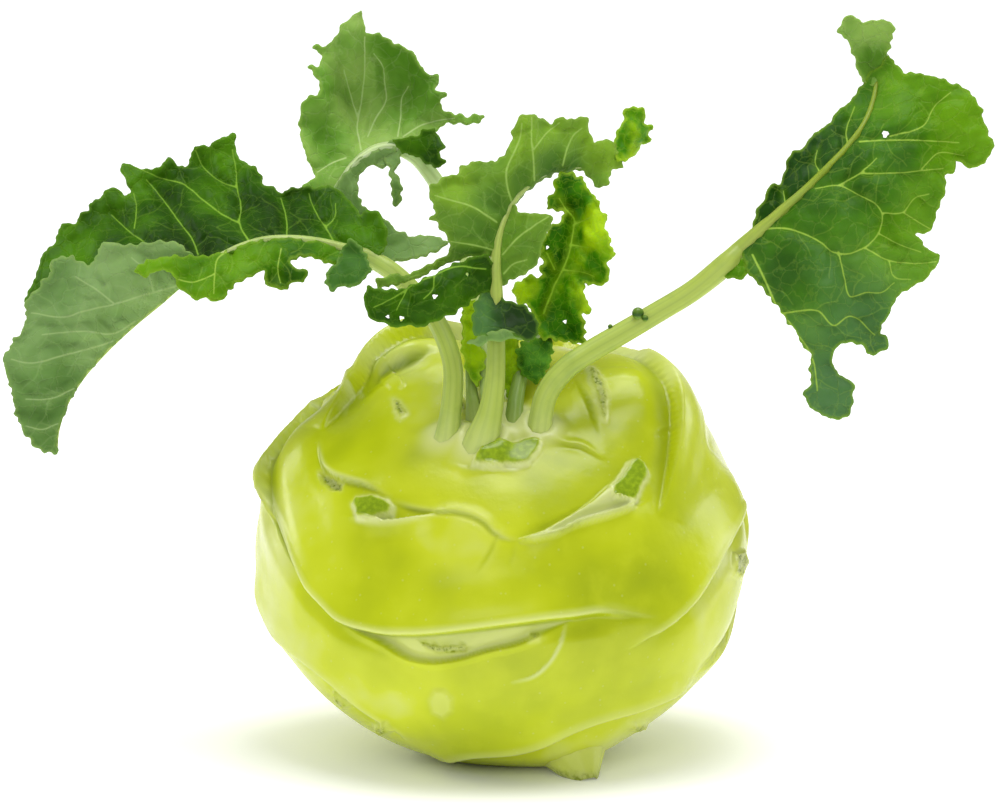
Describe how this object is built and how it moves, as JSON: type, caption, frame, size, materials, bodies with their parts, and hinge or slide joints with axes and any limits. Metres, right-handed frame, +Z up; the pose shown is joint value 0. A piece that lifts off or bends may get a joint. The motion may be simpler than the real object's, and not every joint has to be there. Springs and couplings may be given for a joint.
{
  "type": "kohlrabi",
  "caption": "Kohlrabi: swollen pale green bulb ringed with leaf bases, leaning forward on a small flat spot, with long-stalked lobed leaves.",
  "frame": {"origin": "middle of the small flat spot under the bulb, on the surface that it rests on", "axes": "+Z up, away from the surface; +X to the right, along the widest way across the leaves; the crown leans towards -Y"},
  "size_m": [0.1794, 0.0893, 0.134],
  "materials": {
    "bulb_skin": "waxy, pale lime green",
    "leaf_blade": "soft satin, mid to dark green with pale veins",
    "young_leaf": "soft satin, bright green"
  },
  "bodies": {
    "root": {"bulb": "bulb_skin", "leaf_right": "leaf_blade", "leaf_left": "leaf_blade", "leaf_back": "leaf_blade", "leaf_front": "leaf_blade", "leaf_inner": "leaf_blade", "heart_leaf_dark": "young_leaf", "heart_leaf_bright": "young_leaf", "heart_leaf_tall": "young_leaf"}
  },
  "joints": []
}
